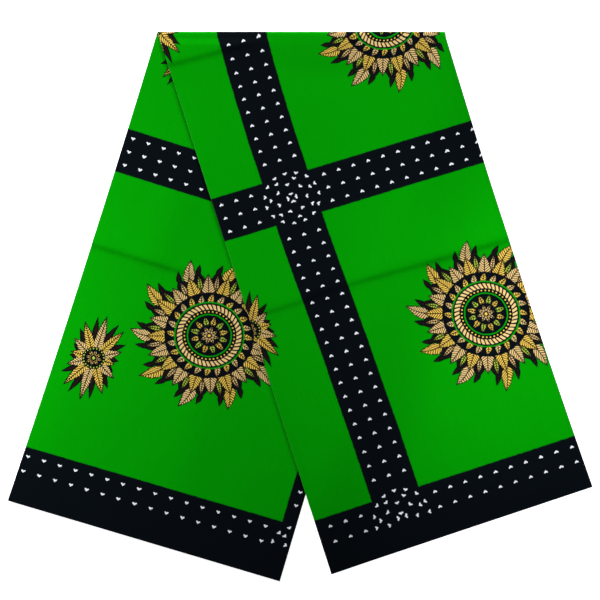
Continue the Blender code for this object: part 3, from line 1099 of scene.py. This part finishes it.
def wear_and_highlight_group():
    """Where the cloth is paler: along the folds between panels, and a little at the selvedges. It
    is partly wear and partly a painted highlight on the fold edges.
    """
    tree, given, sink = new_group("Rubbed Edges", PLACE_SOCKETS, ("Mask",))
    from_fold = abs(given["Along"].from_nearest(PANEL / MM))
    from_selvedge = MIDDLE - abs(given["Across"] - MIDDLE)
    noise = cloth_noise(tree, given["Along"], given["Across"], scale=0.12, detail=4.0)
    patches = Amount(tree, noise.outputs[0]).above(0.5, softness=0.5)
    at_fold = from_fold.below(FOLD_WEAR_AND_HIGHLIGHT, softness=1.1)
    at_selvedge = from_selvedge.below(SELVEDGE_WEAR_AND_HIGHLIGHT, softness=0.7) * SELVEDGE_WEAR_AND_HIGHLIGHT_SHARE
    feed(tree, sink.inputs["Mask"], (at_fold + at_selvedge) * patches)
    return tree


def cloth_place(tree, layer):
    """Where a point is along and across the cloth, in millimetres, from a map of the sheet."""
    source = add_node(tree, "ShaderNodeUVMap")
    source.uv_map = layer
    parts = add_node(tree, "ShaderNodeSeparateXYZ")
    feed(tree, parts.inputs[0], source.outputs[0])
    return {"Along": Amount(tree, parts.outputs["X"]) * (1 / MM),
            "Across": Amount(tree, parts.outputs["Y"]) * (1 / MM)}


def change(amount, middle, reach):
    """An amount from 0 to 1 as a change of a value about its middle."""
    return amount * reach + (middle - reach / 2)


def cotton(name, group, weave, edge_wear_and_highlight, colours, roughness):
    """A cotton printed with the group, with its weave. Its colour is darker between the threads, as
    painted shade, and paler at the fold edges and selvedges, partly as wear and partly as painted
    highlight.
    """
    made, shader = new_material(name)
    tree = made.node_tree
    place = cloth_place(tree, "cloth")
    printed = use_group(tree, group, place)["Colour"]
    woven = use_group(tree, weave, place)
    tone_and_thread_shade = add_node(tree, "ShaderNodeHueSaturation")
    feed(tree, tone_and_thread_shade.inputs["Color"], printed)
    shade = change(woven["Shade"], middle=1.0, reach=0.12)
    # The slubs vary the cotton's own colour at random; the weave height darkens the colour between
    # the threads, which is painted shade in the hollows of the weave.
    feed(tree, tone_and_thread_shade.inputs["Value"], shade * change(woven["Height"], middle=1.0, reach=0.16))
    # Paler along the fold edges and selvedges: partly wear, partly painted highlight.
    wear_and_highlight_mask = use_group(tree, edge_wear_and_highlight, cloth_place(tree, "folds"))["Mask"] * WEAR_AND_HIGHLIGHT
    colour = paint(tree, Amount(tree, tone_and_thread_shade.outputs[0]), (*colours.heart, 1.0), wear_and_highlight_mask)
    feed(tree, shader.inputs["Base Color"], colour)
    feed(tree, shader.inputs["Roughness"], change(woven["Shade"], roughness, reach=0.12))
    bump = add_node(tree, "ShaderNodeBump")
    set_values(bump, {"Strength": 0.5, "Distance": 0.06 * MM})
    feed(tree, bump.inputs["Height"], woven["Height"])
    feed(tree, shader.inputs["Normal"], bump.outputs[0])
    set_values(shader, {
        "Specular IOR Level": 0.025, "Sheen Weight": 0.006, "Sheen Roughness": 0.5})


class WAXPRINT_OT_print(bpy.types.Operator):
    """Makes the two printed cottons"""

    bl_idname = "waxprint.print"
    bl_label = "Print the Cloth"

    def execute(self, context):
        colours = context.scene.print_colours
        group = wax_print(colours)
        weave = weave_group()
        edge_wear_and_highlight = wear_and_highlight_group()
        for name, roughness in COTTONS.items():
            cotton(name, group, weave, edge_wear_and_highlight, colours, roughness)
        return {"FINISHED"}


def dress(piece, finish, nodes):
    """Gives a sheet its finish, hangs it under the root body, and hides the parts of the model that
    it stands for.
    """
    piece.data.materials.append(bpy.data.materials[finish])
    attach(piece, "root")
    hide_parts(*nodes)


class WAXPRINT_OT_top_panel(bpy.types.Operator):
    """Lays the panel that shows on the over leg and goes round the outside of the turn"""

    bl_idname = "waxprint.top_panel"
    bl_label = "Lay the Top Panel"

    def execute(self, context):
        sizes = context.scene.cloth_sizes
        lines = panel_lines(sizes, LAYERS - 0.5, LAYERS - 1.5, 0.0, 1)
        piece = sheet("top_panel", lines, over_print, sizes)
        dress(piece, "wax_print_face", ("over_leg_face", "turn_face"))
        return {"FINISHED"}


class WAXPRINT_OT_inner_panel(bpy.types.Operator):
    """Lays the panel that shows on the under leg and lies inside the turn"""

    bl_idname = "waxprint.inner_panel"
    bl_label = "Lay the Inner Panel"

    def execute(self, context):
        sizes = context.scene.cloth_sizes
        lines = panel_lines(sizes, 0.5, 1.5, CLOTH_LENGTH, -1)
        piece = sheet("inner_panel", lines, under_print, sizes)
        dress(piece, "wax_print_face", ("under_leg_face",))
        return {"FINISHED"}


class WAXPRINT_OT_folded_layers(bpy.types.Operator):
    """Folds the sixteen hidden layers to and fro"""

    bl_idname = "waxprint.folded_layers"
    bl_label = "Fold the Layers"

    def execute(self, context):
        sizes = context.scene.cloth_sizes
        piece = sheet("folded_layers", layer_lines(), plain_print, sizes, hidden=True)
        dress(piece, "wax_print_layers",
              ("over_leg_layers", "turn_layers", "under_leg_layers"))
        return {"FINISHED"}


def soft_box(name, place, aim, spread, power):
    """A square soft box, with a grid that keeps its light within a spread."""
    bpy.ops.object.light_add(type="AREA", location=place)
    light = bpy.context.object
    light.name = name
    light.data.shape = "SQUARE"
    light.data.size = 0.4
    light.data.spread = spread
    light.data.energy = power
    way = Vector((*aim, 0.0)) - Vector(place)
    light.rotation_euler = way.to_track_quat("-Z", "Y").to_euler()


class WAXPRINT_OT_stage(bpy.types.Operator):
    """Sets the floor, the lights and the camera"""

    bl_idname = "waxprint.stage"
    bl_label = "Set the Stage"

    def execute(self, context):
        scene = context.scene
        sizes = scene.stage_sizes
        bpy.ops.object.select_all(action="DESELECT")
        bpy.ops.mesh.primitive_plane_add(size=6.0, location=(0.0, 0.0, 0.0))
        floor = context.object
        floor.name = "floor"
        pale, shader = new_material("pale_floor")
        set_values(shader, {
            "Base Color": (0.93, 0.93, 0.93, 1.0), "Roughness": 0.9, "Specular IOR Level": 0.1,
            "Emission Color": WHITE, "Emission Strength": 1.0})
        floor.data.materials.append(pale)

        for name, (place, aim, spread) in SOFT_BOXES.items():
            soft_box(name + "_light", place, aim, spread, getattr(sizes, name))
        world = bpy.data.worlds.new("room")
        world.use_nodes = True
        tree = world.node_tree
        back = tree.nodes["Background"]
        back.inputs["Color"].default_value = WHITE
        seen = Amount(tree, tree.nodes.new("ShaderNodeLightPath").outputs["Is Camera Ray"])
        feed(tree, back.inputs["Strength"], seen * (1.0 - sizes.room) + sizes.room)
        scene.world = world
        scene.view_settings.view_transform = "Standard"

        bpy.ops.object.camera_add(
            location=CAMERA_PLACE + Vector((0.0, 0.0, sizes.camera_height)),
            rotation=(0.0, 0.0, 0.0))
        camera = context.object
        camera.name = "camera"
        depth = sizes.camera_height - SEEN_HEIGHT
        camera.data.sensor_width = 36.0
        camera.data.lens = camera.data.sensor_width * depth / sizes.seen_width
        camera.data.clip_end = 20.0
        scene.camera = camera
        return {"FINISHED"}


class WAXPRINT_PT_panel(bpy.types.Panel):
    """Lists the steps and the sizes"""

    bl_label = "Folded Wax Print"
    bl_idname = "WAXPRINT_PT_panel"
    bl_space_type = "VIEW_3D"
    bl_region_type = "UI"
    bl_category = "Wax Print"

    def draw(self, context):
        layout = self.layout
        for operator in OPERATORS:
            layout.operator(operator.bl_idname)
        for settings in (context.scene.cloth_sizes, context.scene.print_colours,
                         context.scene.stage_sizes):
            box = layout.box()
            for name in settings.__annotations__:
                box.prop(settings, name)


OPERATORS = (
    WAXPRINT_OT_print,
    WAXPRINT_OT_top_panel,
    WAXPRINT_OT_inner_panel,
    WAXPRINT_OT_folded_layers,
    WAXPRINT_OT_stage,
)
SETTINGS = {
    "cloth_sizes": ClothSizes,
    "print_colours": PrintColours,
    "stage_sizes": StageSizes,
}


def register():
    for kind in (*SETTINGS.values(), *OPERATORS, WAXPRINT_PT_panel):
        bpy.utils.register_class(kind)
    for name, kind in SETTINGS.items():
        setattr(bpy.types.Scene, name, PointerProperty(type=kind))


def unregister():
    for name in SETTINGS:
        delattr(bpy.types.Scene, name)
    for kind in reversed((*SETTINGS.values(), *OPERATORS, WAXPRINT_PT_panel)):
        bpy.utils.unregister_class(kind)


def main():
    register()
    bpy.ops.waxprint.print()
    bpy.ops.waxprint.top_panel()
    bpy.ops.waxprint.inner_panel()
    bpy.ops.waxprint.folded_layers()
    bpy.ops.waxprint.stage()


if __name__ == "__main__":
    main()
